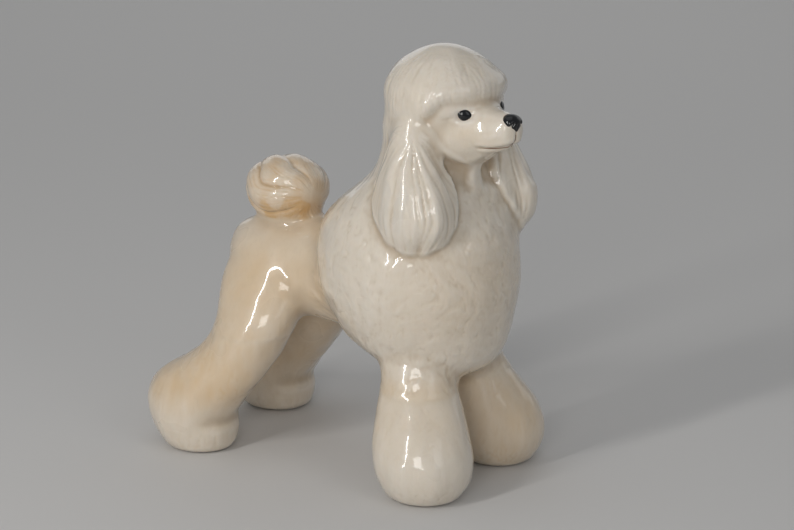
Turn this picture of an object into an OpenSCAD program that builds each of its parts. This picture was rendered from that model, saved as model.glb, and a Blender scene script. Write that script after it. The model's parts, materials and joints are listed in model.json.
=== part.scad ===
// Standing show poodle, a hollow slip-cast and glazed ceramic figurine.
// Each casting is a separate hollow shell. Castings meet at flat trimmed rims and
// are luted together with a thin ring of slip; eyes, nose and mouth are enamel.
// Frame: +X is the way the dog faces, +Y its left, +Z up, and the soles stand on z = 0
// round the middle of the footprint of the whole figure.

/* [Stance] */
// Distance from the hind foot centre to the fore foot centre
stance_l = 92; // [80:1:112]
// Distance between the fore foot centres
fore_stance_w = 45; // [42:0.5:56]
// Distance between the hind foot centres
hind_stance_w = 50; // [45:0.5:62]
// How far the fore feet stand in front of the tops of their legs
fore_reach = 8; // [4:0.5:11]
// How far the fore feet stand to the dog's right of its middle
fore_shift = 2; // [0:0.5:3]
// How far the left hind foot stands behind the right one
hind_lag = 4; // [0:0.5:5]

/* [Torso] */
// Height of the middle of the mane above the soles
mane_z = 68; // [64:1:84]
// Half width of the mane at its widest
mane_r = 32; // [27:0.5:38.5]
// Half length of the mane, from the loin to the chest
mane_d = 34.5; // [30:0.5:42]
// Half width of the shaved loin behind the mane
loin_r = 17; // [14:0.5:21]
// Half width of the rump
rump_r = 19; // [16:0.5:23]

/* [Head] */
// Turn of the head to the dog's right, in degrees
head_turn = 12; // [0:1:25]
// Height of the middle of the topknot above the middle of the mane
topknot_rise = 58.5; // [54:0.5:71]
// Half width of the topknot across the head
topknot_r = 20; // [17:0.5:24]
// Height of the topknot's crown above its middle
crown_h = 18; // [15:0.5:22]
// Length of the muzzle from the eyes to the tip of the nose
muzzle_l = 14.5; // [12:0.5:18]

/* [Ears] */
// Length of an ear from its root to its lowest point
ear_l = 43; // [36:1:51]
// Half width of an ear lobe
ear_r = 15; // [12.5:0.5:18]
// Half thickness of an ear lobe
ear_t = 10.5; // [8.5:0.5:12.5]

/* [Legs] */
// Half width of a foreleg puff
fore_puff_r = 16.5; // [13.5:0.5:20]
// Half width of a foreleg where it leaves the chest
fore_top_r = 12.5; // [10.5:0.5:15]
// Half width of a hind foot puff
hind_puff_r = 15; // [12.5:0.5:18]
// Half width of a hind leg at the thigh
thigh_r = 12.5; // [10.5:0.5:15]

/* [Tail] */
// Half width of the tail pompon
pompon_r = 14.5; // [12:0.5:17.5]
// Half height of the tail pompon
pompon_h = 11.5; // [9.5:0.5:14]
// Gap between the pompon and the mane
pompon_gap = 3.5; // [2:0.5:8]

/* [Clay and slip] */
// Wall thickness of the castings
wall = 3.5; // [2.5:0.25:4.25]
// Thickness of the slip in a luted joint
slip_t = 0.5; // [0.3:0.1:0.8]
// Diameter of the kiln vent under the belly
vent_d = 3; // [2:0.5:5]

/* [Enamel] */
// Diameter of an eye
eye_d = 3.6; // [3:0.2:4.6]
// Half width of the nose
nose_r = 3.8; // [3:0.1:4.6]
// Thickness of the enamel
enamel_t = 0.5; // [0.3:0.1:0.8]

/* [Hidden] */

clay = "#efe6d2";       // ivory glaze
slip = "#e6dac0";       // slip under the glaze
ink = "#15161a";        // black enamel
umber = "#8a6f5a";      // thin brown enamel

fore_x = stance_l / 2;
hind_x = -stance_l / 2;
tail_x = hind_x + 20.7;
loin_x = tail_x + pompon_r * 1.035 + pompon_gap;      // rear end of the mane
mane_x = loin_x + mane_d;
head_x = mane_x + 9.5;
head_z = mane_z + topknot_rise;
tail_z = mane_z + 9 + pompon_h;                        // middle of the pompon
fore_cut = mane_z - 35;                                // planes of the luted joints
hind_cut = mane_z - 26;
neck_cut = mane_z + 34;
tail_cut = mane_z + 11.5;
tip = 18 + muzzle_l;

// ---- rows: elliptical stations [x, y, z, half width, half depth] joined smoothly along x or z

// Catmull-Rom blend of four stations
function blend4(a, b, c, d, t) = 0.5 * (2 * b + (c - a) * t
    + (2 * a - 5 * b + 4 * c - d) * t * t + (3 * b - a - 3 * c + d) * t * t * t);

// The stations with n rings for each span between two of them
function refine(s, n) = [for (i = [0:len(s) - 2], k = [0:n - 1])
    blend4(s[max(i - 1, 0)], s[i], s[i + 1], s[min(i + 2, len(s) - 1)], k / n), s[len(s) - 1]];

// A row of rings made larger all round by g, with its ends moved out too
function grown(s, g, ax) = [for (i = [0:len(s) - 1])
    let (p = s[i], e = i == 0 ? -g : i == len(s) - 1 ? g : 0)
    [p[0] + (ax == 0 ? e : 0), p[1], p[2] + (ax == 2 ? e : 0), p[3] + g, p[4] + g]];

// A row of rings drawn in by t, without the rings too near its ends or too thin to be hollow
function drawn_in(s, t, ax) = [for (p = s)
    if (min(p[3], p[4]) > t + 1 && p[ax] > s[0][ax] + t && p[ax] < s[len(s) - 1][ax] - t)
    [p[0], p[1], p[2], p[3] - t, p[4] - t]];

// The points of one ring: across x for a row along x, level for a row along z
function ring(p, ax, n) = [for (k = [0:n - 1]) let (c = cos(360 * k / n), w = sin(360 * k / n))
    ax == 0 ? [p[0], p[1] + p[3] * c, p[2] + p[4] * w] : [p[0] + p[4] * c, p[1] + p[3] * w, p[2]]];

module skin(rings, ax, n) {
    for (i = [0:len(rings) - 2])
        hull() polyhedron(concat(ring(rings[i], ax, n), ring(rings[i + 1], ax, n)),
            [[for (k = [0:2 * n - 1]) k]]);
}

// A row made larger by g, or drawn in with fewer rings when g is below zero
module row(s, ax, g = 0, fine = 3, n = 32) {
    if (g < 0) skin(drawn_in(s, -g, ax), ax, 18);
    else skin(g > 0 ? grown(refine(s, fine), g, ax) : refine(s, fine), ax, n);
}

// ---- the forms that the castings are cut from

function trunk_s() = let (m = (mane_x - tail_x) / 54) [
    [tail_x - 20.5, 0, mane_z - 2, 3, 4],
    [tail_x - 18.7, 0, mane_z - 2.5, 9, 8.5],
    [tail_x - 14.5, 0, mane_z - 3.5, rump_r - 5.5, 12.5],
    [tail_x - 8, 0, mane_z - 4.7, rump_r - 1.5, 15],
    [tail_x, 0, mane_z - 5.5, rump_r, 16.5],
    [tail_x + 10 * m, 0, mane_z - 5.8, (rump_r + loin_r) / 2, 17],
    [tail_x + 19 * m, 0, mane_z - 5.2, loin_r, 18],
    [tail_x + 29 * m, 0, mane_z - 4, loin_r + 1, 20],
    [tail_x + 38 * m, 0, mane_z - 2, loin_r + 3, 22]];

function mane_s() = [
    [mane_x + 10, 0, mane_z - 33, 5, 6],
    [mane_x + 9, 0, mane_z - 31.5, mane_r - 18.5, mane_d - 20.5],
    [mane_x + 7, 0, mane_z - 28, mane_r - 11.8, mane_d - 13.5],
    [mane_x + 4, 0, mane_z - 22, mane_r - 6, mane_d - 7.5],
    [mane_x + 1.5, 0, mane_z - 12, mane_r - 1.7, mane_d - 3],
    [mane_x + 0.3, 0, mane_z - 2, mane_r, mane_d],
    [mane_x, 0, mane_z + 8, mane_r - 0.5, mane_d],
    [mane_x, 0, mane_z + 16, mane_r - 2.5, mane_d - 1],
    [mane_x + 2, 0, mane_z + 23, mane_r - 5.5, mane_d - 5.5],
    [mane_x + 3.5, 0, mane_z + 29, mane_r - 9.2, mane_d - 11.3],
    [mane_x + 4.8, 0, mane_z + 34, mane_r - 11.8, mane_d - 15.4],
    [mane_x + 6.5, 0, head_z - 18.5, 19, 18.2],
    [mane_x + 7.5, 0, head_z - 10.5, 18.5, 17.4]];

// In the head's frame: u forward, v to the left, w up from the middle of the topknot
function topknot_s() = [
    [-2.2, 0, -29, 15, 14],
    [-2.2, 0, -22, 17.2, 16.4],
    [-2.2, 0, -10, 19, 18.4],
    [-0.7, 0, -4, topknot_r - 1, topknot_r - 2],
    [0.5, 0, 1.5, topknot_r, topknot_r - 0.5],
    [0.5, 0, 6.5, topknot_r - 0.9, topknot_r - 0.6],
    [0.4, 0, crown_h - 6.3, topknot_r - 4.8, topknot_r - 4.8],
    [0.2, 0, crown_h - 2.6, topknot_r - 10, topknot_r - 10],
    [0, 0, crown_h - 0.5, topknot_r - 15.5, topknot_r - 15.3],
    [0, 0, crown_h, 1.5, 1.5]];

function muzzle_s() = [
    [-4, 0, -10, 14, 12],
    [8, 0, -9.5, 14.6, 12.3],
    [13, 0, -9.3, 13, 11.3],
    [18, 0, -8.3, 10.2, 9.6],
    [18 + muzzle_l * 0.26, 0, -7.3, 8, 7.9],
    [18 + muzzle_l * 0.52, 0, -6.5, 6.5, 6.7],
    [18 + muzzle_l * 0.76, 0, -5.9, 5.5, 5.8],
    [18 + muzzle_l * 0.93, 0, -5.6, 4.1, 4.5],
    [tip, 0, -5.4, 1.6, 1.8]];

function ear_s(side) = [
    [5.6, side * 19.2, -ear_l - 4.5, 1.5, 1.5],
    [5.6, side * 19.2, -ear_l - 3.2, ear_t - 4.5, ear_r - 8],
    [5.7, side * 19.2, -ear_l + 2, ear_t - 0.8, ear_r - 2.5],
    [5.8, side * 19, -ear_l + 11, ear_t, ear_r - 0.3],
    [4.1, side * 18, -ear_l * 0.5, ear_t - 1.2, ear_r - 3.6],
    [2.6, side * 16.5, -ear_l * 0.25, ear_t - 3.2, ear_r - 7],
    [2.2, side * 15.5, -4.5, ear_t - 5, ear_r - 9.8],
    [2, side * 15.2, -1, ear_t - 7, ear_r - 12]];

function foreleg_s(side) = let (x = fore_x - fore_reach,
        f = fore_reach, y = side * fore_stance_w / 2 - fore_shift) [
    [fore_x, y, 0, fore_puff_r - 6, fore_puff_r - 5.5],
    [fore_x, y, 2.4, fore_puff_r - 3, fore_puff_r - 2.3],
    [fore_x, y, 8, fore_puff_r - 0.5, fore_puff_r],
    [fore_x - f * 0.1, y * 0.99, 15, fore_puff_r, fore_puff_r + 0.7],
    [fore_x - f * 0.35, y * 0.9, 23, fore_puff_r - 1.5, fore_puff_r - 0.5],
    [x + f * 0.1, y * 0.68, fore_cut + 2, fore_top_r, fore_top_r + 0.7],
    [x - f * 0.1, y * 0.58, fore_cut + 9, fore_top_r, fore_top_r],
    [x - f * 0.3, y * 0.5, fore_cut + 16, fore_top_r - 2, fore_top_r - 2]];

function hindleg_s(side) = let (y = side * hind_stance_w / 2, h = hind_cut / 42,
        x = hind_x - (side > 0 ? hind_lag : 0), k = (tail_x - x) / 20) [
    [x + 1, y, 0, hind_puff_r - 4.5, hind_puff_r - 3.5],
    [x, y, 3.5, hind_puff_r - 1.5, hind_puff_r - 1.2],
    [x - 1.5, y, 11.5 * h, hind_puff_r, hind_puff_r + 1.3],
    [x - 0.5, y * 0.98, 18 * h, hind_puff_r, hind_puff_r + 4],
    [x + 4 * k, y * 0.93, 25 * h, hind_puff_r - 0.8, hind_puff_r + 5],
    [x + 11 * k, y * 0.86, 31.5 * h, thigh_r + 0.9, thigh_r + 4.6],
    [x + 16.5 * k, y * 0.79, hind_cut - 4, thigh_r + 0.6, thigh_r + 2.4],
    [tail_x, y * 0.7, hind_cut + 5, thigh_r + 0.3, thigh_r + 2.4],
    [tail_x - 1, y * 0.51, hind_cut + 15, thigh_r - 0.4, thigh_r + 4],
    [tail_x - 1, y * 0.36, hind_cut + 25, thigh_r - 2.9, thigh_r + 1.8],
    [tail_x - 1, y * 0.24, hind_cut + 32, thigh_r - 5.5, thigh_r - 3]];

function pompon_s() = let (k = pompon_h / 11.5) [
    [tail_x, 0, tail_z - 11.5 * k, 4, 4],
    [tail_x, 0, tail_z - 10 * k, pompon_r - 5.5, pompon_r - 5],
    [tail_x, 0, tail_z - 5 * k, pompon_r - 1, pompon_r - 0.5],
    [tail_x, 0, tail_z + 1 * k, pompon_r, pompon_r + 0.5],
    [tail_x, 0, tail_z + 6.5 * k, pompon_r - 2.5, pompon_r - 2],
    [tail_x, 0, tail_z + 10.2 * k, pompon_r - 8.5, pompon_r - 8],
    [tail_x, 0, tail_z + 11.5 * k, 1.5, 1.5]];

// The whole figure stands round the middle of its footprint
nose_t = 1.2;
function legs_s() = [for (side = [-1, 1]) each concat(refine(foreleg_s(side), 2), refine(hindleg_s(side), 2))];
front = max(max([for (p = refine(mane_s(), 3)) p[0] + p[4]]), max([for (p = legs_s()) p[0] + p[4]]),
    head_x + (tip + nose_t) * cos(head_turn) + 2.8 * sin(head_turn));
back = min([for (p = legs_s()) p[0] - p[4]]);
left = max([for (p = legs_s()) p[1] + p[3]]);
right = min([for (p = legs_s()) p[1] - p[3]]);
module stand() translate([-(front + back) / 2, -(left + right) / 2, 0]) children();
module in_head() translate([head_x, 0, head_z]) rotate(-head_turn) children();

module above(z) translate([-250, -250, z]) cube([500, 500, 400]);
module below(z) translate([-250, -250, z - 400]) cube([500, 500, 400]);
module joint(z) translate([-250, -250, z - slip_t / 2]) cube([500, 500, slip_t]);

module neck_form(g = 0) row(mane_s(), 2, g, n = 36);
module face_form(g = 0) in_head() row(muzzle_s(), 0, g, fine = 2, n = 28);
module head_form(g = 0) {
    neck_form(g);
    in_head() row(topknot_s(), 2, g, n = 36);
    face_form(g);
}
module foreleg_form(side, g = 0) row(foreleg_s(side), 2, g, fine = 2, n = 28);
module hindleg_form(side, g = 0) row(hindleg_s(side), 2, g, fine = 2, n = 28);
module pompon_form(g = 0) {
    row(pompon_s(), 2, g, n = 28);
    // the cavity of the pompon opens down into the rump
    if (g < 0) translate([tail_x, 0, tail_cut - 8]) cylinder(h = tail_z - tail_cut + 8, r = 4, $fn = 20);
}
module trunk_form(g = 0) {
    row(trunk_s(), 0, g, n = 28);
    neck_form(g);
    for (side = [-1, 1]) {
        foreleg_form(side, g);
        hindleg_form(side, g);
    }
}

// ---- castings

module torso() color(clay) difference() {
    intersection() {
        union() {
            trunk_form();
            intersection() { pompon_form(); below(tail_cut - slip_t / 2); }
        }
        below(neck_cut - slip_t / 2);
        union() {
            above(hind_cut + slip_t / 2);
            intersection() {
                above(fore_cut + slip_t / 2);
                translate([loin_x, -250, 0]) cube([500, 500, 400]);
            }
        }
    }
    trunk_form(-wall);
    pompon_form(-wall);
    // the back is trimmed clear of the pompon and its slip
    intersection() { pompon_form(); above(tail_cut - slip_t / 2); }
    translate([loin_x - 4, 0, mane_z - 40]) cylinder(h = 40, d = vent_d, $fn = 24);
}

module head() color(clay) difference() {
    intersection() { head_form(); above(neck_cut + slip_t / 2); }
    head_form(-wall);
}

module ear(side) color(clay) difference() {
    in_head() row(ear_s(side), 2, n = 28);
    head_form(slip_t);
}

module leg(cut) color(clay) difference() {
    intersection() { children(0); below(cut - slip_t / 2); }
    children(1);
}
module foreleg(side) leg(fore_cut) { foreleg_form(side); foreleg_form(side, -wall); }
module hindleg(side) leg(hind_cut) { hindleg_form(side); hindleg_form(side, -wall); }

module tail_pompon() color(clay) difference() {
    intersection() { pompon_form(); above(tail_cut + slip_t / 2); }
    pompon_form(-wall);
}

// ---- slip in the luted joints

module slip_ring(z) color(slip) difference() {
    intersection() { children(0); joint(z); }
    children(1);
}
module slip_ear(side) color(slip) difference() {
    intersection() { in_head() row(ear_s(side), 2, n = 28); head_form(slip_t); }
    head_form();
}

// ---- enamel

module enamel(shade, t) color(shade) intersection() {
    difference() { head_form(t); head_form(); }
    in_head() children();
}
module eye(side) enamel(ink, enamel_t)
    translate([8, side * 4, -3.3]) rotate([0, 80, side * 25]) scale([0.85, 1, 1])
        cylinder(h = 30, d = eye_d, $fn = 28);
module nose() enamel(ink, nose_t)
    translate([tip - 4, 0, -3]) rotate([0, 90, 0]) scale([0.78, 1, 1])
        cylinder(h = 20, r = nose_r, $fn = 32);
module mouth_line() enamel(umber, enamel_t) {
    translate([19.5, -20, -12]) rotate([0, -10, 0]) cube([30, 40, 0.7]);
    translate([tip - 3, -0.35, -9.8]) cube([10, 0.7, 3.2]);
}

stand() torso();
stand() head();
stand() ear(1);  // ear_left
stand() ear(-1);  // ear_right
stand() foreleg(1);  // foreleg_left
stand() foreleg(-1);  // foreleg_right
stand() hindleg(1);  // hindleg_left
stand() hindleg(-1);  // hindleg_right
stand() tail_pompon();
stand() slip_ring(neck_cut) { neck_form(); neck_form(-wall); }  // slip_neck
stand() slip_ear(1);  // slip_ear_left
stand() slip_ear(-1);  // slip_ear_right
stand() slip_ring(fore_cut) { foreleg_form(1); foreleg_form(1, -wall); }  // slip_foreleg_left
stand() slip_ring(fore_cut) { foreleg_form(-1); foreleg_form(-1, -wall); }  // slip_foreleg_right
stand() slip_ring(hind_cut) { hindleg_form(1); hindleg_form(1, -wall); }  // slip_hindleg_left
stand() slip_ring(hind_cut) { hindleg_form(-1); hindleg_form(-1, -wall); }  // slip_hindleg_right
stand() slip_ring(tail_cut) { pompon_form(); pompon_form(-wall); }  // slip_tail
stand() eye(1);  // eye_left
stand() eye(-1);  // eye_right
stand() nose();
stand() mouth_line();
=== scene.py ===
# Looks of the glazed poodle figurine, built round its packed castings.
# The castings are fused into one smooth clay form, modelled as wet clay is (hair strokes,
# lids, lips, paws), then parted again at the luted joints. Lengths in here are millimetres.

import json
import math

import bmesh
import bpy
import numpy as np
from mathutils import Matrix, Vector
from mathutils.bvhtree import BVHTree

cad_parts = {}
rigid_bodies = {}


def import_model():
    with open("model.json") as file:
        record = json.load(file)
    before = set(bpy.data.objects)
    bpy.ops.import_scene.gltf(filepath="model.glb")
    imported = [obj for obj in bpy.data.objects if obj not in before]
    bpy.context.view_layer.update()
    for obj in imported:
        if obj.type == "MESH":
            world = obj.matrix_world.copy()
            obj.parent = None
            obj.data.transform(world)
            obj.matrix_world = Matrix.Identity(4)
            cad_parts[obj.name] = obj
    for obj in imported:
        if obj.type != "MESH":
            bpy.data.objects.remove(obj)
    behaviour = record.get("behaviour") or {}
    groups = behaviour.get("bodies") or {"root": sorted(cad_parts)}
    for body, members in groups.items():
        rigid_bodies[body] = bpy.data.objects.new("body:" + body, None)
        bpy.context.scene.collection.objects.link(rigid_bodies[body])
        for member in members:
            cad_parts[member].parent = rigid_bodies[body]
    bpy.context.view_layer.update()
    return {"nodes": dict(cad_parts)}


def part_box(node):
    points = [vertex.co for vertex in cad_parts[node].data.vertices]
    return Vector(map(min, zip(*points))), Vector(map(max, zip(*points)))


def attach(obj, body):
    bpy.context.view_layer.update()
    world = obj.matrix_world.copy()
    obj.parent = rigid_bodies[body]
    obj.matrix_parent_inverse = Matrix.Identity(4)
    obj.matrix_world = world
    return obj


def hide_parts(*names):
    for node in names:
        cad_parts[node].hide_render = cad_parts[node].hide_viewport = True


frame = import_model()

GRAIN_OF_CLAY = 1.08     # edge length of the fused clay before it is modelled
SLIP_HALF = 0.25         # half the thickness of the slip in a flat joint
FAR_OUT = 300            # well past the figure, for the blocks that part it
MM = 0.001


# ---- places, all read from the castings

def span(node):
    lo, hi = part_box(node)
    return np.array(lo) / MM, np.array(hi) / MM


def middle(node):
    lo, hi = span(node)
    return (lo + hi) / 2


TAIL = middle("tail_pompon")
EYES = {"left": middle("eye_left"), "right": middle("eye_right")}
CROWN_TOP = span("head")[1][2]
NECK_Z = middle("slip_neck")[2]
FORE_Z = middle("slip_foreleg_left")[2]
HIND_Z = middle("slip_hindleg_left")[2]
TAIL_Z = middle("slip_tail")[2]
MANE_HALF = 34.5         # from the middle of the mane back to the loin
MANE = np.array([TAIL[0] + 53.0, TAIL[1], NECK_Z - 34.0])
HEAD = np.array([MANE[0] + 9.5, TAIL[1], CROWN_TOP - 18.0])
ACROSS = (EYES["left"] - EYES["right"])[:2]
TURN = math.atan2(ACROSS[0], ACROSS[1])
TIP_U = 32.5             # from the middle of the topknot to the tip of the muzzle


def to_head(p):
    """Points in the head's frame: u forward, v to the left, w up from the middle of the topknot."""
    q = np.asarray(p) - HEAD
    c, s = math.cos(TURN), math.sin(TURN)
    return np.stack([q[..., 0] * c - q[..., 1] * s, q[..., 0] * s + q[..., 1] * c, q[..., 2]], -1)


def from_head(p):
    p = np.asarray(p, float)
    c, s = math.cos(TURN), math.sin(TURN)
    return np.stack([p[..., 0] * c + p[..., 1] * s, -p[..., 0] * s + p[..., 1] * c, p[..., 2]], -1) + HEAD


# ---- small tools on arrays of points

def step(a, b, x):
    t = np.clip((x - a) / (b - a), 0, 1)
    return t * t * (3 - 2 * t)


def hump(x, width):
    return np.exp(-(x / width) ** 2)


def unit(v):
    return v / np.maximum(np.linalg.norm(v, axis=-1, keepdims=True), 1e-9)


CELL_MIX = np.array([374761393, 668265263, 974634777])


def wander(p, seed):
    """Smooth noise between about -1 and 1 at the points p."""
    dirs = unit(np.random.RandomState(seed).normal(size=(256, 3)))
    cell = np.floor(p).astype(np.int64)
    f = p - cell
    fade = f * f * f * (f * (f * 6 - 15) + 10)
    total = np.zeros(len(p))
    for i in (0, 1):
        for j in (0, 1):
            for k in (0, 1):
                h = ((cell + [i, j, k]) * CELL_MIX).sum(axis=1)
                h = (h ^ (h >> 13)) * 1274126177
                h = (h ^ (h >> 16)) & 255
                away = f - np.array([i, j, k])
                share = np.abs(1 - i - fade[:, 0]) * np.abs(1 - j - fade[:, 1]) * np.abs(1 - k - fade[:, 2])
                total += share * np.einsum("ij,ij->i", dirs[h], away)
    return total * 1.7


def strokes(p, seed, fineness=0.16):
    """Grooves of a modelling tool, 0 on the clay to 1 in a groove, long where p is stretched."""
    line = hump(wander(p, seed), fineness)
    lifted = step(-0.35, 0.45, wander(p * 0.7 + 9.1, seed + 50))
    return line * lifted


def points(mesh):
    co = np.empty(len(mesh.vertices) * 3, np.float32)
    mesh.vertices.foreach_get("co", co)
    return co.reshape(-1, 3).astype(float) / MM


def put_points(mesh, p):
    mesh.vertices.foreach_set("co", (p * MM).astype(np.float32).ravel())
    mesh.update()


def normals(mesh):
    n = np.empty(len(mesh.vertices) * 3, np.float32)
    mesh.vertex_normals.foreach_get("vector", n)
    return n.reshape(-1, 3).astype(float)


def edges(mesh):
    e = np.empty(len(mesh.edges) * 2, np.int32)
    mesh.edges.foreach_get("vertices", e)
    return e.reshape(-1, 2)


def evened(values, e, times, rate=0.5, share=None):
    """Values of the vertices, averaged with their neighbours' a number of times."""
    flat = values.ndim == 1
    x = values[:, None].astype(float).copy() if flat else values.astype(float).copy()
    n = len(x)
    a, b = np.concatenate([e[:, 0], e[:, 1]]), np.concatenate([e[:, 1], e[:, 0]])
    count = np.maximum(np.bincount(a, minlength=n), 1)[:, None]
    amount = rate if share is None else rate * share[:, None]
    for _ in range(times):
        mean = np.stack([np.bincount(a, x[b, c], minlength=n) for c in range(x.shape[1])], 1) / count
        x += amount * (mean - x)
    return x[:, 0] if flat else x


def note(mesh, name, values):
    """Keeps one value for each vertex on the mesh for the glaze to read."""
    layer = mesh.attributes.get(name) or mesh.attributes.new(name, "FLOAT", "POINT")
    layer.data.foreach_set("value", np.asarray(values, np.float32))


def tree_of(mesh):
    bm = bmesh.new()
    bm.from_mesh(mesh)
    tree = BVHTree.FromBMesh(bm)
    bm.free()
    return tree


def noted(mesh, name):
    out = np.empty(len(mesh.vertices), np.float32)
    mesh.attributes[name].data.foreach_get("value", out)
    return out.astype(float)


def show(name, mesh):
    piece = bpy.data.objects.new(name, mesh)
    bpy.context.scene.collection.objects.link(piece)
    return piece


def made(name, bm):
    mesh = bpy.data.meshes.new(name)
    bm.to_mesh(mesh)
    bm.free()
    return show(name, mesh)


def settled(piece):
    """The piece's mesh with its modifiers worked in."""
    deps = bpy.context.evaluated_depsgraph_get()
    mesh = bpy.data.meshes.new_from_object(piece.evaluated_get(deps))
    piece.modifiers.clear()
    piece.data = mesh
    return mesh


# ---- one clay form from the hollow castings

CASTINGS = ["torso", "head", "ear_left", "ear_right", "foreleg_left", "foreleg_right",
            "hindleg_left", "hindleg_right", "tail_pompon"]
SLIPS = ["slip_neck", "slip_ear_left", "slip_ear_right", "slip_foreleg_left", "slip_foreleg_right",
         "slip_hindleg_left", "slip_hindleg_right", "slip_tail"]


def clay_copy(node):
    bm = bmesh.new()
    bm.from_mesh(frame["nodes"][node].data)
    bmesh.ops.remove_doubles(bm, verts=bm.verts, dist=1e-6)
    return bm


def fuse_castings():
    whole = bmesh.new()
    for node in CASTINGS + SLIPS:
        part = clay_copy(node)
        scrap = bpy.data.meshes.new("scrap")
        part.to_mesh(scrap)
        part.free()
        whole.from_mesh(scrap)
        bpy.data.meshes.remove(scrap)
    # a lump of clay behind the kiln vent parts the cavity from the outside
    belly = BVHTree.FromBMesh(whole)
    vent_x = span("tail_pompon")[1][0] - 0.5
    hit = belly.ray_cast(Vector((vent_x + 3.5, TAIL[1], 20)) * MM, Vector((0, 0, 1)))[0]
    bmesh.ops.create_icosphere(whole, subdivisions=4, radius=9 * MM,
                               matrix=Matrix.Translation((vent_x * MM, TAIL[1] * MM, hit.z + 10.6 * MM)))
    clay = made("clay", whole)
    fused = clay.modifiers.new("fuse", "REMESH")
    fused.mode = "VOXEL"
    fused.voxel_size = GRAIN_OF_CLAY * MM
    mesh = settled(clay)

    # only the outer skin is kept
    e = edges(mesh)
    group = np.arange(len(mesh.vertices))
    while True:
        low = np.minimum(group[e[:, 0]], group[e[:, 1]])
        before = group.copy()
        np.minimum.at(group, e[:, 0], low)
        np.minimum.at(group, e[:, 1], low)
        group = group[group]
        if np.array_equal(before, group):
            break
    p = points(mesh)
    ids, size = np.unique(group, return_counts=True)
    outer = max(ids[np.argsort(size)[-4:]], key=lambda g: np.ptp(p[group == g], axis=0).sum())
    bm = bmesh.new()
    bm.from_mesh(mesh)
    bm.verts.ensure_lookup_table()
    bmesh.ops.delete(bm, geom=[bm.verts[i] for i in np.flatnonzero(group != outer)], context="VERTS")
    bmesh.ops.recalc_face_normals(bm, faces=bm.faces)
    bm.to_mesh(mesh)
    bm.free()
    return clay


def belonging(mesh, blur=5):
    """For each casting, how much each vertex belongs to it, blurred a little over the joints."""
    p = points(mesh)
    far = np.full((len(p), len(CASTINGS)), 99.0)
    for k, node in enumerate(CASTINGS):
        lo, hi = span(node)
        near = np.flatnonzero(np.all((p > lo - 4) & (p < hi + 4), axis=1))
        bm = clay_copy(node)
        tree = BVHTree.FromBMesh(bm)
        bm.free()
        for i in near:
            far[i, k] = tree.find_nearest(Vector(p[i] * MM), 8 * MM)[3] or 99.0
    owner = np.argmin(far, axis=1)
    e = edges(mesh)
    for k, node in enumerate(CASTINGS):
        note(mesh, "of_" + node, evened((owner == k).astype(float), e, blur))


JAW = ([5, 16.2, 21, 26, 31], [-25, -18.7, -16.5, -14.9, -13.8])     # edge of the jaw: u, w


def smooth_clay(mesh):
    """Takes the facets off and draws the clay softly into every inner corner, as a wet sponge does."""
    e = edges(mesh)
    p = points(mesh)
    h = to_head(p)
    face = step(9, 14, h[:, 0]) * step(2, -1, h[:, 2]) * step(-26, -20, h[:, 2])
    soft = 1 - 0.72 * face
    lobes = noted(mesh, "of_ear_left") + noted(mesh, "of_ear_right")
    crisp = np.clip(evened(hump(lobes - 0.5, 0.4), e, 3) * 1.2, 0, 1)
    soft = soft * (1 - 0.6 * crisp)
    mesh_p = evened(p, e, 14, share=soft)
    put_points(mesh, mesh_p)
    for _ in range(14):
        p = points(mesh)
        n = normals(mesh)
        rise = np.einsum("ij,ij->i", evened(p, e, 1, 1.0) - p, n)
        p += n * (np.maximum(rise, 0) * (0.75 * soft))[:, None]
        p[:, 2] = np.maximum(p[:, 2], 0)
        put_points(mesh, p)
    p = evened(points(mesh), e, 4, share=soft)
    p[:, 2] = np.maximum(p[:, 2], 0)
    put_points(mesh, p)
    fill_throat(mesh, e)


def fill_throat(mesh, e):
    """Clay is packed into the hollow between the ears, below the jaw, and sponged smooth."""
    h = to_head(points(mesh))
    u, v, w = h[:, 0], np.abs(h[:, 1]), h[:, 2]
    jaw = np.interp(u, *JAW)
    throat = step(-1, 5, u) * step(jaw + 0.5, jaw - 2.5, w) * step(-47, -38, w) * step(22, 16, v)
    for _ in range(130):
        p = points(mesh)
        n = normals(mesh)
        rise = np.einsum("ij,ij->i", evened(p, e, 1, 1.0) - p, n)
        p += n * (np.where(rise > 0, 1.0, 0.12) * rise * throat)[:, None]
        p = evened(p, e, 1, 0.15, throat)
        put_points(mesh, p)


def refine(clay):
    finer = clay.modifiers.new("finer", "SUBSURF")
    finer.levels = finer.render_levels = 1
    mesh = settled(clay)
    p = points(mesh)
    h = to_head(p)
    tail = p - TAIL
    fine = ((h[:, 0] > 9) & (np.abs(h[:, 1]) < 12) & (h[:, 2] < 1.5) & (h[:, 2] > -19)
            | (np.linalg.norm(tail, axis=1) < 17.5) & (p[:, 2] > TAIL_Z - 1))
    bm = bmesh.new()
    bm.from_mesh(mesh)
    bm.verts.ensure_lookup_table()
    chosen = [ed for ed in bm.edges if fine[ed.verts[0].index] and fine[ed.verts[1].index]]
    bmesh.ops.subdivide_edges(bm, edges=chosen, cuts=1, use_grid_fill=True, smooth=0)
    bm.to_mesh(mesh)
    bm.free()
    return mesh


# ---- modelling

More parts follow.
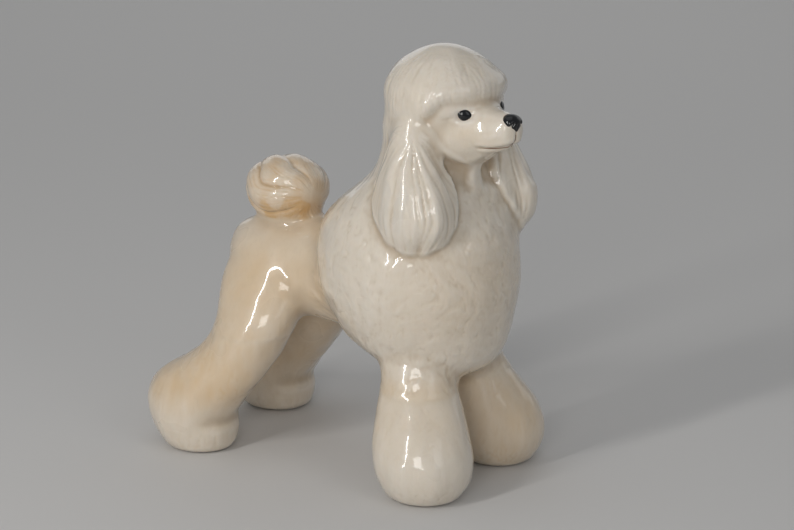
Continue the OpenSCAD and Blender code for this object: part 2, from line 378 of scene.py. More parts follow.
def model_topknot(p, own):
    """A rounded cap of fine combed strands that rolls out over the brow."""
    h = to_head(p)
    u, w = h[:, 0], h[:, 2]
    flat = np.linalg.norm(h[:, :2], axis=1)
    out = h[:, :2] / np.maximum(flat, 1e-6)[:, None]
    hem = np.where(u > 0, -3.2 + 6.2 * step(7, 16, u), -3.2)     # the cap's lower edge
    above = w - hem
    cap = own * step(-1.0, 1.2, above)
    nape = own * step(1.0, -2.5, above) * step(5, -3, u)
    around = out * (20 / 1.35)
    hair = np.column_stack([around + (wander(h / 12, 3) * 0.7)[:, None], w / 10])
    edge = step(3, 11, flat)
    cut = strokes(hair, 11, 0.2) * 0.17 + strokes(hair * [1.9, 1.9, 1.5], 12, 0.22) * 0.09
    lump = wander(h / 7, 14) * 0.26
    front = step(2, 12, u)
    roll = (0.95 * hump(above - 4.2, 4.2) - 0.70 * hump(above + 0.6, 2.1)) * front * own
    roll += 0.16 * hump(above - 2.0, 3.0) * (1 - front) * step(-12, -4, u) * own
    return (lump - cut * edge) * np.maximum(cap, 0.8 * nape) + roll


def model_ear(p, own, side):
    """A long lobe that stands proud of the mane, combed down in broad folds with finer tips."""
    h = to_head(p)
    lo, hi = span("ear_left" if side > 0 else "ear_right")
    box = to_head(np.array([(lo + hi) / 2]))[0]
    down = np.clip((hi[2] - p[:, 2]) / (hi[2] - lo[2]), 0, 1)
    half = 6.0 + 8.5 * np.sin(np.pi * np.clip(down, 0, 1) ** 0.8 * 0.80)
    a = (h[:, 0] - box[0]) / half
    b = (h[:, 1] - box[1]) / (0.72 * half)
    sway = 0.07 * np.sin(down * 6.5 + (0.7 if side > 0 else 0)) * step(0.05, 0.4, down)
    wavy = a + sway + 0.05 * wander(h / 10, 23)
    turn = np.arctan2(b, a) + sway + 0.10 * wander(h / 10, 24)
    round_lobe = np.column_stack([np.cos(turn), np.sin(turn)])
    lock = np.column_stack([round_lobe * 3.1, down * 1.2])
    broad = strokes(lock, 25 + (side > 0), 0.17) * 0.40 * step(0.05, 0.25, down)
    fine = strokes(lock * [2.3, 2.3, 2.0] + 3.3, 28, 0.21) * 0.12
    tips = strokes(np.column_stack([round_lobe * 8.5, down * 3.0]), 29, 0.24) * 0.13 * step(0.5, 0.8, down)
    swell = wander(lock * 0.8, 31) * 0.5 * step(0.1, 0.35, down)
    fold_at = 0.50 + 0.16 * np.sin(down * 4.6 - 0.4)
    outside = step(-0.2, 0.3, side * b)
    fold = hump(wavy - fold_at, 0.12) * 0.48 * step(0.16, 0.30, down) * step(0.74, 0.56, down)
    fold -= hump(wavy - fold_at - 0.22, 0.14) * 0.40 * step(0.20, 0.34, down) * step(0.74, 0.60, down)
    proud = 1.2 * step(0.30, 0.85, own) * step(0.22, 0.55, down) * (1 - 0.6 * step(0.8, 1.0, down))
    moat = 0.40 * hump(own - 0.22, 0.24) * step(0.10, 0.3, down)
    return (swell - broad - fine - tips - fold * outside) * own + proud - moat


def model_mane(p, own):
    """A full coat, soft under the glaze: short strokes in patches over low rounded tufts."""
    q = p - MANE
    out = unit(q[:, :2] + 1e-6)
    height = q[:, 2]
    swirl = 0.16 * wander(q / 16, 40) + 0.30 * step(0, -25, height) * np.sin(q[:, 0] / 12 + 1)
    c, s = np.cos(swirl), np.sin(swirl)
    turned = np.column_stack([out[:, 0] * c - out[:, 1] * s, out[:, 0] * s + out[:, 1] * c])
    hair = np.column_stack([turned * (32 / 1.7), height / 3.2])
    tufts = np.column_stack([turned * 5.0, height / 5.5 + 0.35 * np.sin(q[:, 0] / 5)])
    coat = own * step(-33.5, -29, q[:, 0] + 0.10 * np.abs(height))
    patchy = step(-0.35, 0.4, wander(q / 8, 41))
    cut = strokes(hair, 42, 0.19) * 0.17 * patchy + strokes(hair * [1.8, 1.8, 1.7], 43, 0.22) * 0.07
    lumps = wander(tufts, 44) * 0.22 + wander(tufts * 2.1, 45) * 0.09
    return (lumps - cut) * coat


def model_leg(p, own, seed):
    tall = p / np.array([7.5, 7.5, 15.0])
    lumps = wander(tall + seed, 50) * 0.32 + wander(p / [3.6, 3.6, 7] + seed, 51) * 0.10
    hair = p / np.array([1.7, 1.7, 7.5]) + seed
    cut = strokes(hair, 52, 0.2) * 0.09 * step(-0.2, 0.5, wander(p / 8, 53))
    by_the_sole = step(11, 5, p[:, 2]) * step(0.4, 2.5, p[:, 2])
    rim = strokes(p / np.array([1.6, 1.6, 5.0]), 54, 0.22) * 0.14 * by_the_sole
    return (lumps - cut - rim) * own * step(0.0, 2.0, p[:, 2])


def model_rump(p, own):
    shaved = own * step(-14, -19, p[:, 0] - MANE[0])
    return (wander(p / 9, 60) * 0.22 + wander(p / [4, 4, 5], 61) * 0.05) * shaved


FORWARD_LEFT = np.array([0.83, 0.558, 0.0])      # the pompon's locks are lowest on this side


def model_pompon(p, own):
    """Broad locks gathered low in front and swept round the pompon, combed along their length."""
    d = unit((p - TAIL) * [1, 1, 1.22])
    hub = unit(np.array([0.93, -0.28, -0.23]))
    up = unit(np.cross(hub, [0, 0, 1.0]))
    over = np.cross(up, hub)
    away = np.arccos(np.clip(d @ hub, -1, 1))
    around = np.arctan2(d @ over, d @ up)
    sweep = around + 0.55 * np.sin(1.3 * away) + 0.14 * wander(d * 1.7, 70)
    lock = np.abs(np.sin(3.0 * sweep + 0.5))
    open_up = step(0.30, 0.95, away) * step(2.85, 2.0, away) * (1 - 0.7 * step(0.1, 0.75, d @ FORWARD_LEFT))
    held = 0.55 + 0.45 * step(-0.3, 0.3, wander(d * 1.9 + 4, 73))
    groove = -hump(lock, 0.28) * 0.60 * held + (lock - 0.6) * 0.85
    hair = np.column_stack([np.cos(sweep) * 7.5, np.sin(sweep) * 7.5, away * 1.3])
    cut = strokes(hair, 71, 0.2) * 0.14 + strokes(hair * 1.8, 72, 0.22) * 0.07
    return (groove * open_up - cut * step(0.15, 0.5, away)) * own * step(TAIL_Z - 0.5, TAIL_Z + 3, p[:, 2])


def mouth_height(u):
    """The mouth's line in the head's frame: low at the corner, level, and up again at the front."""
    t = (u - 21.0) / (TIP_U - 21.0)
    return -11.7 + 1.6 * t - 0.5 * hump(t - 0.45, 0.35) + 0.9 * step(0.80, 1.05, t)


def carve_throat(p, off_ears):
    """The shaved cheek ends in a V below the ear, and its edge runs forward under the jaw."""
    h = to_head(p)
    u, v, w = h[:, 0], h[:, 1], h[:, 2]
    under = np.interp(u, *JAW) - w
    behind = (np.interp(-w, [4, 12, 18.7, 26], [6, 11, 16.2, 21]) - u) * 0.87
    out = np.maximum(under, behind)
    here = off_ears * step(2, 7, u) * step(-3, -7, w) * step(29, 23, u) * step(1.0, 5.0, np.abs(v))
    return here * (0.45 * hump(out + 1.2, 1.2) - 1.5 * step(-0.4, 2.4, out) * step(11, 4, out))


def model_face(p, own):
    h = to_head(p)
    u, v, w = h[:, 0], h[:, 1], h[:, 2]
    skin = own * step(9.5, 12, u) * step(1.0, -0.8, w)
    out = np.zeros(len(p))
    for side in (1, -1):
        eye = to_head(EYES["left" if side > 0 else "right"][None])[0]
        du = (u - eye[0]) * 0.62 + side * -0.45 * (v - eye[1])
        back = -du
        dw = w - eye[2] + 0.10 * back
        near = hump(np.abs(v) - abs(eye[1]), 5.0) * (v * side > 0)
        ring = np.sqrt((back / 2.95) ** 2 + (dw / 2.25) ** 2)
        out += near * (0.22 * hump(ring - 1.10, 0.30) - 0.30 * hump(ring, 0.75))
        tail_line = hump(dw + 0.55 + 0.16 * (back - 3), 0.42) * step(2.2, 3.2, back) * step(7.2, 5.0, back)
        out -= near * 0.20 * tail_line
    drop = w - mouth_height(u)
    along = step(20.6, 23.0, u)
    sides = step(0.2, 1.6, np.abs(v)) * 0.35 + 0.65
    lips = 0.34 * hump(drop - 1.35, 0.9) + 0.26 * hump(drop + 1.25, 0.8)
    out += along * (lips - 0.62 * hump(drop, 0.52)) * sides
    front = step(TIP_U - 4.5, TIP_U - 2, u)
    out -= front * 0.5 * hump(v, 0.45) * step(-0.2, 0.6, drop) * step(5, 4, drop)
    out += 0.35 * hump(u - 25, 3.0) * hump(drop - 2.2, 2.0)
    out += wander(h / 4.2, 80) * 0.07
    return out * skin


def push_paws(p, own_left, own_right):
    """Toes that show under the front of each hind foot's hair."""
    moved = p.copy()
    for own, node in ((own_left, "hindleg_left"), (own_right, "hindleg_right")):
        lo, hi = span(node)
        foot_x, foot_y = lo[0] + 16.5, hi[1] - 15.2 if node.endswith("left") else lo[1] + 15.2
        d = p[:, :2] - [foot_x, foot_y]
        ahead = step(0.55, 0.98, unit(d)[:, 0])
        low = step(11.5, 7.0, p[:, 2])
        notch = hump(p[:, 2] - 12.0, 3.0)
        moved[:, 0] += own * ahead * (1.1 * low * step(-1, 3, p[:, 2]) - 0.8 * notch)
    return moved


def model(mesh):
    own = {node: noted(mesh, "of_" + node) for node in CASTINGS}
    p = push_paws(points(mesh), own["hindleg_left"], own["hindleg_right"])
    put_points(mesh, p)
    n = normals(mesh)
    lift = model_topknot(p, own["head"])
    lift += model_ear(p, own["ear_left"], 1) + model_ear(p, own["ear_right"], -1)
    lift += model_mane(p, own["torso"]) + model_rump(p, own["torso"])
    for k, node in enumerate(CASTINGS[4:8]):
        lift += model_leg(p, own[node], 5.3 * k)
    lift += model_pompon(p, own["tail_pompon"])
    lobes = np.clip(own["ear_left"] + own["ear_right"], 0, 1)
    lift += model_face(p, own["head"]) + carve_throat(p, step(0.5, 0.1, lobes))
    p = p + n * lift[:, None]
    p[:, 2] = np.maximum(p[:, 2], 0)
    e = edges(mesh)
    p = evened(p, e, 1, 0.35)
    put_points(mesh, p)
    # the glaze runs into the corner round each ear
    corner = step(0.03, 0.15, lobes) * step(0.97, 0.7, lobes)
    for _ in range(12):
        n = normals(mesh)
        rise = np.einsum("ij,ij->i", evened(p, e, 1, 1.0) - p, n)
        p = p + n * (np.maximum(rise, 0) * corner * 0.8)[:, None]
        put_points(mesh, p)
    root = corner * step(-17, -9, to_head(p)[:, 2])
    p = evened(p, e, 14, 0.5, root)
    # the soles are ground flat, down to where the castings stand
    p[:, 2] -= p[:, 2].min() * step(4.0, 0.5, p[:, 2])
    put_points(mesh, p)

    # where the glaze pools in the grooves and thins on the ridges, and the broad folds that are darkened as
    # painted shade, part pooled glaze
    n = normals(mesh)
    pool = np.einsum("ij,ij->i", evened(p, e, 10) - p, n)
    # painted shade: broad folds, measured against a heavily smoothed copy, are marked to be darkened as in
    # shade, partly as pooled glaze
    fold_shade_and_pool = np.einsum("ij,ij->i", evened(p, e, 160) - p, n)
    note(mesh, "pool", np.clip(evened(pool, e, 1) / 0.10, -1, 1))
    note(mesh, "crease_pool_and_shade", np.clip(evened(fold_shade_and_pool, e, 4) / 0.7, -1, 1))
    tints_and_painted_shade(mesh, p, own)


def tints_and_painted_shade(mesh, p, own):
    """Tints brushed under the glaze, and the pale lids: the honey_and_shade mark is a warm brushed tint
    that also carries painted shade under the chest, along the front of the mane and on the left foreleg,
    which sits in shade; ochre goes on the pompon.
    """
    q = p - MANE
    rear = step(-22, -30, q[:, 0] + 0.15 * q[:, 2])
    honey_and_shade = rear * own["torso"] * (0.50 + 0.55 * step(78, 52, p[:, 2]))
    for node in ("hindleg_left", "hindleg_right"):
        honey_and_shade += own[node] * (0.25 + 0.8 * step(8, 26, p[:, 2]))
    # painted shade: the left foreleg, which sits in shade, gets 0.6 more of the warm tint than the right
    for node in ("foreleg_left", "foreleg_right"):
        honey_and_shade += own[node] * (0.22 * step(12, 30, p[:, 2]) + (0.6 if node.endswith("left") else 0))
    # painted shade: more warm tint under the chest and along the front of the mane, where shade falls
    honey_and_shade += own["torso"] * 0.6 * step(-24, -33, q[:, 2]) * step(-5, 5, q[:, 0])
    honey_and_shade += own["torso"] * 0.28 * step(0, 24, q[:, 0]) * step(26, 8, np.abs(q[:, 2] + 2))
    h = to_head(p)
    honey_and_shade += own["head"] * 0.3 * hump(h[:, 0] - 19, 5) * hump(h[:, 2] + 7, 4)
    note(mesh, "honey_and_shade", np.clip(evened(honey_and_shade, edges(mesh), 6), 0, 1))
    brushed = step(-0.25, 0.35, wander(p / 5.5, 90))
    low = step(TAIL_Z + 10, TAIL_Z + 3, p[:, 2])
    ochre = own["tail_pompon"] * (0.34 + 0.32 * brushed + 0.75 * low * (0.4 + 0.6 * brushed))
    ochre += own["tail_pompon"] * 0.5 * np.maximum(noted(mesh, "pool"), 0)
    note(mesh, "ochre", np.clip(evened(ochre, edges(mesh), 3), 0, 1))
    pale = np.zeros(len(p))
    for side in ("left", "right"):
        d = np.linalg.norm(p - EYES[side], axis=1)
        pale += step(5.0, 2.6, d)
    pale += hump(h[:, 0] - 29.5, 2.5) * hump(h[:, 2] + 5.5, 3) * 0.7 * own["head"]
    note(mesh, "pale", np.clip(pale, 0, 1))


# ---- parting the clay at the luted joints

MARKS = ["pool", "crease_pool_and_shade", "honey_and_shade", "ochre", "pale"]


def box_tool(lo, hi):
    bm = bmesh.new()
    bmesh.ops.create_cube(bm, size=1.0)
    size = (np.array(hi, float) - lo) * MM
    bmesh.ops.scale(bm, vec=size, verts=bm.verts)
    bmesh.ops.translate(bm, vec=(np.array(hi, float) + lo) / 2 * MM, verts=bm.verts)
    return made("tool", bm)


def ear_tool(node, out):
    """The bulge of an ear, a little larger than its casting."""
    bm = clay_copy(node)
    hull = bmesh.ops.convex_hull(bm, input=bm.verts)
    bmesh.ops.delete(bm, geom=hull["geom_interior"], context="VERTS")
    loose = [f for f in bm.faces if f not in set(hull["geom"])]
    bmesh.ops.delete(bm, geom=loose, context="FACES")
    bmesh.ops.recalc_face_normals(bm, faces=bm.faces)
    bm.normal_update()
    for vert in bm.verts:
        vert.co += vert.normal * out * MM
    return made("tool", bm)


def cut(mesh, tool, way):
    piece = show("cut", mesh.copy())
    mod = piece.modifiers.new("cut", "BOOLEAN")
    mod.operation = way
    mod.solver = "MANIFOLD"
    mod.object = tool
    result = settled(piece)
    bpy.data.objects.remove(piece)
    return result


def keys_of(p):
    k = np.round(p * 2e4).astype(np.int64)
    return (k[:, 0] * 73856093) ^ (k[:, 1] * 19349663) ^ (k[:, 2] * 83492791)


def finish_skin(mesh, clay_mesh, whole, tree):
    """Gives a parted piece the whole form's own shading and marks, so that no joint line shows."""
    p = points(mesh)
    wp, wn, marks, keys, order = whole
    found = np.minimum(np.searchsorted(keys, keys_of(p)), len(keys) - 1)
    source = order[found]
    on_skin = np.abs(wp[source] - p).max(axis=1) < 2e-4
    normal = np.where(on_skin[:, None], wn[source], 0)
    kept = {m: np.where(on_skin, marks[m][source], 0) for m in MARKS}
    for i in np.flatnonzero(~on_skin):
        _, _, face, away = tree.find_nearest(Vector(p[i] * MM))
        if away > 4e-6:
            continue
        on_skin[i] = True
        c = np.array(clay_mesh.polygons[face].vertices[:])
        share = 1 / np.maximum(np.linalg.norm(wp[c] - p[i], axis=1), 1e-4) ** 2
        share /= share.sum()
        normal[i] = share @ wn[c]
        for m in MARKS:
            kept[m][i] = share @ marks[m][c]
    for m in MARKS:
        note(mesh, m, kept[m])
    normal = unit(normal)
    loops = np.empty(len(mesh.loops), np.int32)
    mesh.loops.foreach_get("vertex_index", loops)
    poly_n = np.empty(len(mesh.polygons) * 3, np.float32)
    mesh.polygons.foreach_get("normal", poly_n)
    poly_n = poly_n.reshape(-1, 3)
    total = np.empty(len(mesh.polygons), np.int32)
    mesh.polygons.foreach_get("loop_total", total)
    of_poly = np.repeat(np.arange(len(total)), total)
    fits = on_skin[loops] & (np.einsum("ij,ij->i", poly_n[of_poly], normal[loops]) > 0.3)
    skin = np.bincount(of_poly, ~fits, minlength=len(total)) == 0
    custom = np.where(skin[of_poly][:, None], normal[loops], poly_n[of_poly])
    mesh.polygons.foreach_set("use_smooth", np.ones(len(total), bool))
    mesh.normals_split_custom_set(custom.astype(float).tolist())
    mesh.update()


def part_clay(clay, tree):
    mesh = clay.data
    wp, wn = points(mesh), normals(mesh)
    marks = {m: noted(mesh, m) for m in MARKS}
    keys = keys_of(wp)
    order = np.argsort(keys, kind="stable")
    whole = (wp, wn, marks, keys[order], order)
    pieces = {}
    rest = mesh
    for side in ("left", "right"):
        inner, outer = ear_tool("ear_" + side, 1.0), ear_tool("ear_" + side, 1.5)
        pieces["ear_" + side] = cut(rest, inner, "INTERSECT")
        layer = cut(rest, outer, "INTERSECT")
        pieces["slip_ear_" + side] = cut(layer, inner, "DIFFERENCE")
        rest = cut(rest, outer, "DIFFERENCE")
    half, big = SLIP_HALF, FAR_OUT
    low_x, mid_y = MANE[0] - MANE_HALF, TAIL[1]
    levels = {
        "head": ([-big, -big, NECK_Z + half], [big, big, big]),
        "slip_neck": ([-big, -big, NECK_Z - half], [big, big, NECK_Z + half]),
        "tail_pompon": ([-big, -big, TAIL_Z + half], [low_x - 0.8, big, big]),
        "slip_tail": ([-big, -big, TAIL_Z - half], [low_x - 0.8, big, TAIL_Z + half]),
    }
    for side, y0, y1 in (("left", mid_y, big), ("right", -big, mid_y)):
        levels["foreleg_" + side] = ([low_x, y0, -9], [big, y1, FORE_Z - half])
        levels["slip_foreleg_" + side] = ([low_x, y0, FORE_Z - half], [big, y1, FORE_Z + half])
        levels["hindleg_" + side] = ([-big, y0, -9], [low_x, y1, HIND_Z - half])
        levels["slip_hindleg_" + side] = ([-big, y0, HIND_Z - half], [low_x, y1, HIND_Z + half])
    for name, (lo, hi) in levels.items():
        tool = box_tool(lo, hi)
        pieces[name] = cut(rest, tool, "INTERSECT")
        rest = cut(rest, tool, "DIFFERENCE")
    pieces["torso"] = rest
    for name, piece in pieces.items():
        finish_skin(piece, mesh, whole, tree)
    for tool in [o for o in bpy.data.objects if o.name.startswith("tool")]:
        bpy.data.objects.remove(tool)
    return pieces


# ---- enamel: eyes, nose and the mouth's line

def eye_bead(side, tree):
    """A flattened bead of black enamel, almond-shaped, lying in its lids."""
    place = EYES[side]
    at, normal, _, _ = tree.find_nearest(Vector(place * MM))
    outward = from_head([0.9, 0.55 if side == "left" else -0.55, 0.1]) - HEAD
    normal = Vector(unit(np.array(normal) + outward))
    bm = bmesh.new()
    bmesh.ops.create_uvsphere(bm, u_segments=64, v_segments=32, radius=1 * MM)
    along = Vector(np.array(from_head([1, 0, -0.12]) - HEAD))
    along = (along - normal * along.dot(normal)).normalized()
    up = normal.cross(along)
    for vert in bm.verts:
        x, y, z = vert.co / MM
        pinch = 1 - 0.16 * abs(x) ** 3
        vert.co = Vector((x * 2.35, y * 1.85 * pinch, z * 0.85)) * MM
    turn = Matrix((along, up, normal)).transposed().to_4x4()
    settle = 0.10 if side == "right" else 0.35
    bmesh.ops.transform(bm, matrix=Matrix.Translation(at + normal * settle * MM) @ turn, verts=bm.verts)
    bmesh.ops.recalc_face_normals(bm, faces=bm.faces)
    return made("enamel_eye_" + side, bm)


def nose_pad():
    """The nose: a heart-shaped pad with a comma cut for each nostril and a cleft below."""
    centre = np.array([TIP_U - 2.7, 0, -3.0])
    bm = bmesh.new()
    bmesh.ops.create_icosphere(bm, subdivisions=6, radius=1.0)
    for vert in bm.verts:
        u, v, w = vert.co
        fall = step(0.9, -1.0, np.float64(w))
        half = 3.35 * (1 - 0.60 * fall ** 1.5)
        x = u * (3.1 - 0.7 * fall) + 0.5 * fall
        y = v * half
        z = w * (2.6 if w > 0 else 3.6)
        lobe = math.exp(-((abs(y) - 2.5) / 1.1) ** 2) * math.exp(-((z + 0.6) / 1.5) ** 2)
        y += math.copysign(0.5 * lobe, y)
        x += 0.3 * lobe
        if u > -0.2:
            bend = abs(y) - (1.45 + 0.9 * math.exp(-((z + 1.2) / 1.0) ** 2))
            height = np.float64(z)
            comma = math.exp(-(bend / 0.42) ** 2) * float(step(-2.6, -1.6, height) * step(0.9, 0.2, height))
            cleft = math.exp(-(y / 0.28) ** 2) * float(step(0.6, -0.6, height))
            x -= 0.75 * comma + 0.35 * cleft
        vert.co = Vector(from_head(centre + np.array([x, y, z]) * 1.08)) * MM
    bmesh.ops.recalc_face_normals(bm, faces=bm.faces)
    return made("enamel_nose", bm)


def mouth_thread(tree):
    """A thin line of brown enamel let into the mouth, thinner at its ends, and up the cleft."""
    runs = []
    for side in (1, -1):
        run = []
        for u in np.linspace(21.8, TIP_U - 1.2, 30):
            start = from_head([u, side * 16.0, mouth_height(u)])
            aim = Vector(from_head([u - 0.001, 0, mouth_height(u)]) - start).normalized()
            hit = tree.ray_cast(Vector(start * MM), aim)
            if hit[0] is not None:
                run.append((hit[0], min(1, (u - 21.2) / 4)))
        runs.append(run)
    up = []
    for w in np.linspace(mouth_height(TIP_U), -6.6, 12):
        start = from_head([TIP_U + 8, 0, w])
        hit = tree.ray_cast(Vector(start * MM), Vector(from_head([0, 0, w]) - start).normalized())
        if hit[0] is not None:
            up.append((hit[0], 0.9))
    joined = runs[0] + [(up[0][0], 1.0)] + runs[1][::-1]
    line = bpy.data.curves.new("mouth", "CURVE")
    line.dimensions = "3D"
    line.bevel_depth = 0.19 * MM
    line.bevel_resolution = 3
    line.use_fill_caps = True
    for run in (joined, up):
        spline = line.splines.new("POLY")
        spline.points.add(len(run) - 1)
        for point, (at, thick) in zip(spline.points, run):
            point.co = (*at, 1)
            point.radius = max(0.25, thick)
    drawn = bpy.data.objects.new("mouth", line)
    bpy.context.scene.collection.objects.link(drawn)
    deps = bpy.context.evaluated_depsgraph_get()
    mesh = bpy.data.meshes.new_from_object(drawn.evaluated_get(deps))
    bpy.data.objects.remove(drawn)
    bpy.data.curves.remove(line)
    return show("enamel_mouth_line", mesh)


# ---- glazes

def node(tree, kind, at=(0, 0), **inputs):
    made_node = tree.nodes.new(kind)
    made_node.location = at
    for key, value in inputs.items():
        made_node.inputs[key.replace("_", " ")].default_value = value
    return made_node


def group_tree(name, inputs, outputs):
    tree = bpy.data.node_groups.new(name, "ShaderNodeTree")
    for label, kind, value in inputs:
        socket = tree.interface.new_socket(label, in_out="INPUT", socket_type=kind)
        socket.default_value = value
    for label, kind in outputs:
        tree.interface.new_socket(label, in_out="OUTPUT", socket_type=kind)
    return tree, tree.nodes.new("NodeGroupInput"), tree.nodes.new("NodeGroupOutput")


def math_node(tree, way, a, b=None, clamp=False):
    n = tree.nodes.new("ShaderNodeMath")
    n.operation = way
    n.use_clamp = clamp
    for k, x in enumerate((a, b)):
        if x is None:
            continue
        if isinstance(x, (int, float)):
            n.inputs[k].default_value = x
        else:
            tree.links.new(x, n.inputs[k])
    return n.outputs[0]


def times(tree, a, b, clamp=False):
    return math_node(tree, "MULTIPLY", a, b, clamp)


def above_zero(tree, a):
    return math_node(tree, "MAXIMUM", a, 0.0)


def centred(tree, noise, middle_at, gain, base=None, clamp=True):
    """A noise taken about its middle, made stronger, and set on a base."""
    swing = times(tree, math_node(tree, "SUBTRACT", noise, middle_at), gain, base is None and clamp)
    return swing if base is None else math_node(tree, "ADD", swing, base, clamp)


def noise_node(tree, scale, detail=3.0, rough=0.55, stretch=None):
    coord = tree.nodes.new("ShaderNodeTexCoord")
    vector = coord.outputs["Object"]
    if stretch:
        mapping = tree.nodes.new("ShaderNodeMapping")
        mapping.inputs["Scale"].default_value = stretch
        tree.links.new(vector, mapping.inputs["Vector"])
        vector = mapping.outputs["Vector"]
    n = node(tree, "ShaderNodeTexNoise", Scale=scale, Detail=detail, Roughness=rough)
    tree.links.new(vector, n.inputs["Vector"])
    return n.outputs["Fac"]


def mark_node(tree, name):
    n = tree.nodes.new("ShaderNodeAttribute")
    n.attribute_name = name
    return n.outputs["Fac"]


def mix(tree, fac, a, b):
    n = tree.nodes.new("ShaderNodeMix")
    n.data_type = "RGBA"
    for socket, x in ((n.inputs[0], fac), (n.inputs[6], a), (n.inputs[7], b)):
        if isinstance(x, (int, float, tuple)):
            socket.default_value = x
        else:
            tree.links.new(x, socket)
    return n.outputs[2]


def glaze_colour_and_shade_group():
    """Colour of the clear glaze over brushed tints: it pools darker in grooves, thins on ridges, and it
    carries painted shade in the broad folds and in parts of the warm tint.
    """
    colour = "NodeSocketColor"
    number = "NodeSocketFloat"
    tree, gi, go = group_tree("glaze_colour_and_shade", [
        ("Body", colour, (0.80, 0.72, 0.60, 1)), ("Thin", colour, (0.86, 0.81, 0.73, 1)),
        ("Pool and shade", colour, (0.44, 0.33, 0.215, 1)), ("Honey and shade", colour, (0.64, 0.455, 0.255, 1)),
        ("Ochre", colour, (0.58, 0.35, 0.13, 1)), ("Pooling", number, 0.6)], [("Color", colour)])
    cloud = noise_node(tree, 70, 4, 0.6)
    blush = noise_node(tree, 28, 3, 0.5)
    fleck = noise_node(tree, 900, 2, 0.5, (1, 1, 0.35))
    pool = mark_node(tree, "pool")
    crease_pool_and_shade = mark_node(tree, "crease_pool_and_shade")
    wet = times(tree, above_zero(tree, pool), gi.outputs["Pooling"], True)
    fold_shade_and_pool = times(tree, above_zero(tree, crease_pool_and_shade), 0.75, True)
    dry = times(tree, above_zero(tree, times(tree, pool, -1.0)), 0.55, True)
    base = mix(tree, centred(tree, cloud, 0.35, 0.9), gi.outputs["Body"], gi.outputs["Thin"])
    # the warm tint mark: brushed tint on the rump and legs, painted shade under the chest, along the front
    # of the mane and on the left foreleg
    honey_and_shade_amount = times(tree, mark_node(tree, "honey_and_shade"), centred(tree, blush, 0.5, 1.3, 0.68), True)
    base = mix(tree, honey_and_shade_amount, base, gi.outputs["Honey and shade"])
    ochred = times(tree, mark_node(tree, "ochre"), centred(tree, cloud, 0.5, 1.3, 0.72), True)
    base = mix(tree, ochred, base, gi.outputs["Ochre"])
    base = mix(tree, dry, base, gi.outputs["Thin"])
    base = mix(tree, times(tree, mark_node(tree, "pale"), 0.8, True), base, gi.outputs["Thin"])
    base = mix(tree, centred(tree, fleck, 0.5, 0.35), base, gi.outputs["Pool and shade"])
    base = mix(tree, wet, base, gi.outputs["Pool and shade"])
    # painted shade: the broad folds are darkened towards the pooled colour
    base = mix(tree, above_zero(tree, times(tree, fold_shade_and_pool, 0.8)), base, gi.outputs["Pool and shade"])
    tree.links.new(base, go.inputs["Color"])
    return tree


def fired_surface_group():
    """Fine relief of fired glaze: brush-soft hair scratches under it and its own gentle ripple."""
    number = "NodeSocketFloat"
    tree, gi, go = group_tree("fired_surface", [("Hair", number, 1.0), ("Ripple", number, 1.0)],
                              [("Height", number), ("Roughness", number), ("Coat", number)])
    hair = noise_node(tree, 620, 2, 0.5, (1, 1, 0.16))
    ripple = noise_node(tree, 150, 2, 0.4)
    wide = noise_node(tree, 60, 2, 0.5)
    height = math_node(tree, "ADD", times(tree, hair, gi.outputs["Hair"]),
                       times(tree, ripple, gi.outputs["Ripple"]))
    tree.links.new(height, go.inputs["Height"])
    roughness = math_node(tree, "ADD", times(tree, wide, 0.14), 0.22)
    coat = math_node(tree, "ADD", times(tree, ripple, 0.15), 0.85, True)
    tree.links.new(roughness, go.inputs["Roughness"])
    tree.links.new(coat, go.inputs["Coat"])
    return tree


GLAZE_COLOUR = glaze_colour_and_shade_group()
FIRED = fired_surface_group()


def fired_material(name, relief, hair, ripple, coat_rough=0.035, sheen_below=0.35):
    """A glaze or enamel: its colour below a hard clear coat."""
    mat = bpy.data.materials.new(name)
    mat.use_nodes = True
    tree = mat.node_tree
    shader = tree.nodes["Principled BSDF"]
    surface = tree.nodes.new("ShaderNodeGroup")
    surface.node_tree = FIRED
    surface.inputs["Hair"].default_value = hair
    surface.inputs["Ripple"].default_value = ripple
    bump = tree.nodes.new("ShaderNodeBump")
    bump.inputs["Strength"].default_value = relief
    bump.inputs["Distance"].default_value = 0.0001
    tree.links.new(surface.outputs["Height"], bump.inputs["Height"])
    tree.links.new(bump.outputs["Normal"], shader.inputs["Normal"])
    tree.links.new(surface.outputs["Roughness"], shader.inputs["Roughness"])
    tree.links.new(surface.outputs["Coat"], shader.inputs["Coat Weight"])
    shader.inputs["Coat Roughness"].default_value = coat_rough
    shader.inputs["Coat IOR"].default_value = 1.52
    shader.inputs["Specular IOR Level"].default_value = sheen_below
    return mat, tree, shader


def glaze_material(name, colours, pooling, relief=0.5):
    mat, tree, shader = fired_material(name, relief, 0.5, 0.9)
    colour_and_shade_group = tree.nodes.new("ShaderNodeGroup")
    colour_and_shade_group.node_tree = GLAZE_COLOUR
    for key, value in colours.items():
        colour_and_shade_group.inputs[key].default_value = (*value, 1)
    colour_and_shade_group.inputs["Pooling"].default_value = pooling
    tree.links.new(colour_and_shade_group.outputs["Color"], shader.inputs["Base Color"])
    shader.inputs["Subsurface Weight"].default_value = 0.12
    shader.inputs["Subsurface Radius"].default_value = (1.0, 0.7, 0.45)
    shader.inputs["Subsurface Scale"].default_value = 0.0012
    return mat


def enamel_material(name, dark, light, relief):
    mat, tree, shader = fired_material(name, relief, 0.25, 1.0, 0.05, 0.08)
    brushed = noise_node(tree, 700, 3, 0.6)
    tree.links.new(mix(tree, brushed, (*dark, 1), (*light, 1)), shader.inputs["Base Color"])
    return mat


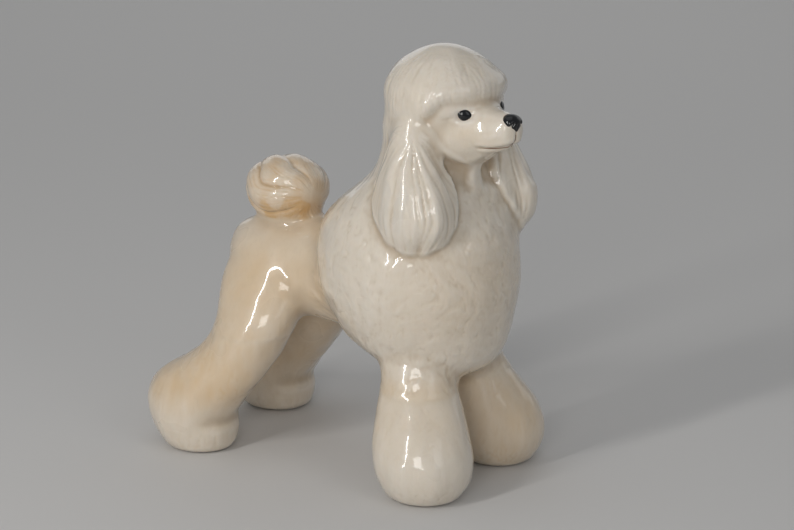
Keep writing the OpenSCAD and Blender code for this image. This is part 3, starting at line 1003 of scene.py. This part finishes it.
IVORY = {"Body": (0.70, 0.625, 0.52), "Thin": (0.76, 0.70, 0.62)}
ivory = glaze_material("ivory_glaze", IVORY, 0.5)
slip_glaze = glaze_material("slip_under_glaze", IVORY, 0.5)
black = enamel_material("black_enamel", (0.0015, 0.002, 0.003), (0.005, 0.006, 0.009), 0.5)
brown = enamel_material("brown_enamel", (0.20, 0.12, 0.075), (0.30, 0.20, 0.14), 0.4)


# ---- the figure

clay = fuse_castings()
belonging(clay.data, 3)
smooth_clay(clay.data)
model(refine(clay))
skin_tree = tree_of(clay.data)

for name, mesh in part_clay(clay, skin_tree).items():
    piece = show("glazed_" + name, mesh)
    mesh.materials.clear()
    mesh.materials.append(slip_glaze if name.startswith("slip") else ivory)
    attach(piece, "root")
    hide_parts(name)

for piece, node_name, mat, slot in (
        (eye_bead("left", skin_tree), "eye_left", black, "black_enamel"),
        (eye_bead("right", skin_tree), "eye_right", black, "black_enamel"),
        (nose_pad(), "nose", black, "black_enamel"),
        (mouth_thread(skin_tree), "mouth_line", brown, "brown_enamel")):
    piece.data.materials.clear()
    piece.data.materials.append(mat)
    piece.data.polygons.foreach_set("use_smooth", np.ones(len(piece.data.polygons), bool))
    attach(piece, "root")
    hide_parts(node_name)
bpy.data.objects.remove(clay)


# ---- studio

def floor():
    bm = bmesh.new()
    bmesh.ops.create_grid(bm, x_segments=1, y_segments=1, size=3.0)
    piece = made("studio_floor", bm)
    mat = bpy.data.materials.new("studio_floor")
    mat.use_nodes = True
    shader = mat.node_tree.nodes["Principled BSDF"]
    shader.inputs["Base Color"].default_value = (0.62, 0.61, 0.60, 1)
    shader.inputs["Roughness"].default_value = 0.7
    piece.data.materials.append(mat)


def soft_light(name, place, aim, size, power, colour=(1, 1, 1)):
    data = bpy.data.lights.new(name, "AREA")
    data.shape = "RECTANGLE"
    data.size, data.size_y = size
    data.energy = power
    data.color = colour
    lamp = bpy.data.objects.new(name, data)
    bpy.context.scene.collection.objects.link(lamp)
    lamp.visible_camera = False
    lamp.location = place
    lamp.rotation_euler = (Vector(aim) - Vector(place)).to_track_quat("-Z", "Y").to_euler()


floor()
CAMERA_AT = Vector((0.5006, -0.7170, 0.3186))
LOOK_AT = Vector((0.01847, 0.00051, 0.0679))
view = (LOOK_AT - CAMERA_AT).normalized()
right = view.cross(Vector((0, 0, 1))).normalized()
flat = Vector((view.x, view.y, 0)).normalized()


def studio(side, ahead, height):
    """A place given from the figure: metres to the right, towards the camera, and up."""
    return LOOK_AT + right * side - flat * ahead + Vector((0, 0, height))


aim = Vector((0, 0, 0.07))
soft_light("tall_strip", studio(-0.56, 0.56, 0.37), aim, (0.05, 0.60), 2.7, (1.0, 0.985, 0.96))
soft_light("front_fill", studio(-0.16, 0.95, 0.30), aim, (0.30, 0.45), 2.0, (1.0, 0.985, 0.965))
soft_light("window", studio(0.55, 0.75, 0.45), aim, (0.35, 0.6), 0.55, (0.95, 0.98, 1.0))
soft_light("overhead", studio(-0.1, 0.0, 0.9), aim, (0.7, 0.7), 0.6)
soft_light("back_fill", studio(-0.1, -1.0, 0.36), aim, (0.9, 0.5), 0.7)
soft_light("left_fill", studio(0.80, -0.70, 0.50), aim, (0.9, 0.7), 0.8)

world = bpy.data.worlds.new("studio")
world.use_nodes = True
world.node_tree.nodes["Background"].inputs["Color"].default_value = (0.86, 0.88, 0.9, 1)
world.node_tree.nodes["Background"].inputs["Strength"].default_value = 0.28
bpy.context.scene.world = world
bpy.context.scene.view_settings.view_transform = "Standard"

camera_data = bpy.data.cameras.new("camera")
camera_data.sensor_width = 36
camera_data.lens = 36 * 2726 / 794
camera_data.dof.use_dof = False
camera = bpy.data.objects.new("camera", camera_data)
camera.location = CAMERA_AT
camera.rotation_euler = view.to_track_quat("-Z", "Y").to_euler()
bpy.context.scene.collection.objects.link(camera)
bpy.context.scene.camera = camera
